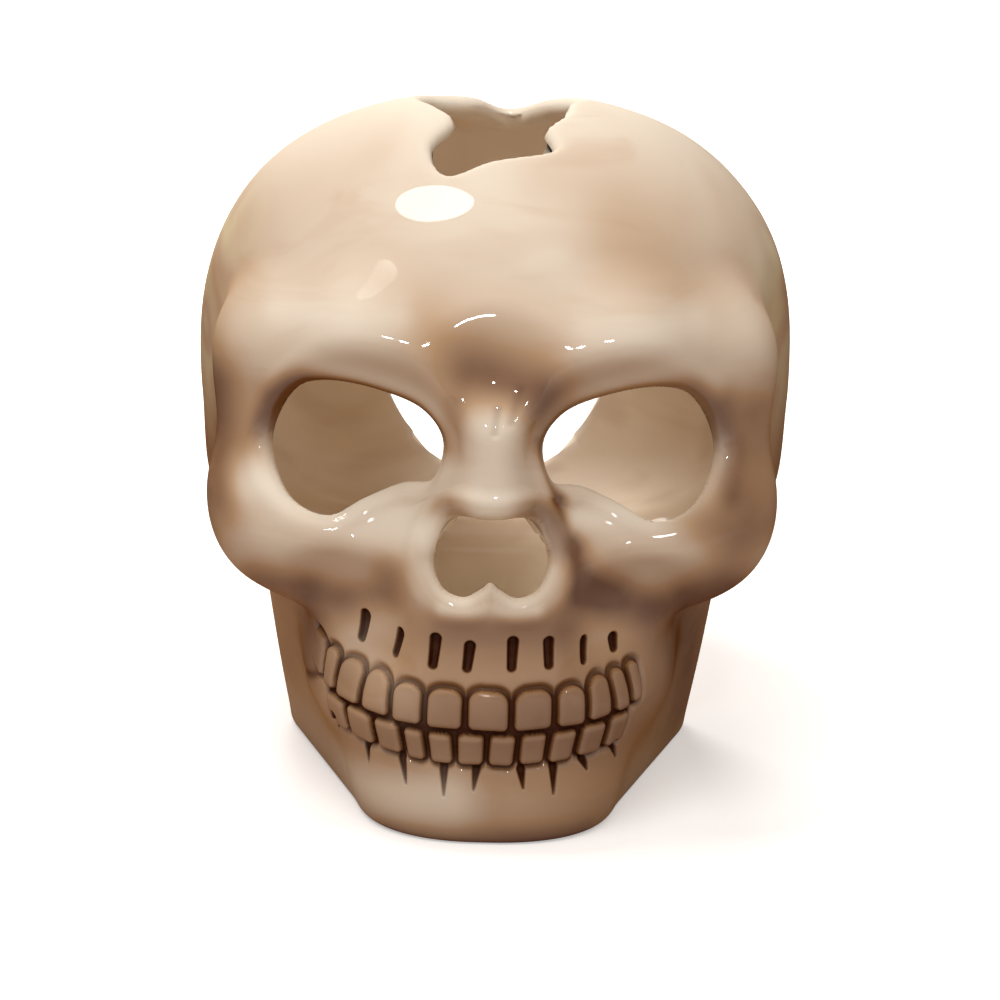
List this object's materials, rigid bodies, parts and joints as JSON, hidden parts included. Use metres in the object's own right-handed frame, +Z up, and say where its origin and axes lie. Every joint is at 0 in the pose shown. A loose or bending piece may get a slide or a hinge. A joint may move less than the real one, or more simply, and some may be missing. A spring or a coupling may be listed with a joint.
{
  "type": "skull candle holder",
  "caption": "Hollow glazed ceramic skull with open eyes, nose, crown and back, holding a tealight on the floor of its jaw.",
  "frame": {"origin": "centre of the bounding box in X and Y, on the flat base", "axes": "+Z up, the face looks along -Y, +X is the viewer's right when the face is seen from the front"},
  "size_m": [0.113, 0.1224, 0.125],
  "materials": {
    "glaze": "bone glaze with brown wash in the recesses and a clear gloss coat",
    "foil": "thin pressed foil, satin",
    "wax": "pale candle wax, slightly translucent",
    "tinplate": "stamped tinplate",
    "cotton": "braided cotton, waxed"
  },
  "bodies": {
    "skull": {"skull": "glaze"},
    "tealight": {"tealight_cup": "foil", "tealight_wax": "wax", "wick_tab": "tinplate", "wick": "cotton"}
  },
  "joints": [
    {"name": "tealight_lift", "type": "slide", "parent": "skull", "child": "tealight", "axis": [0, 0, 1], "range_m": [0, 0.042]}
  ]
}
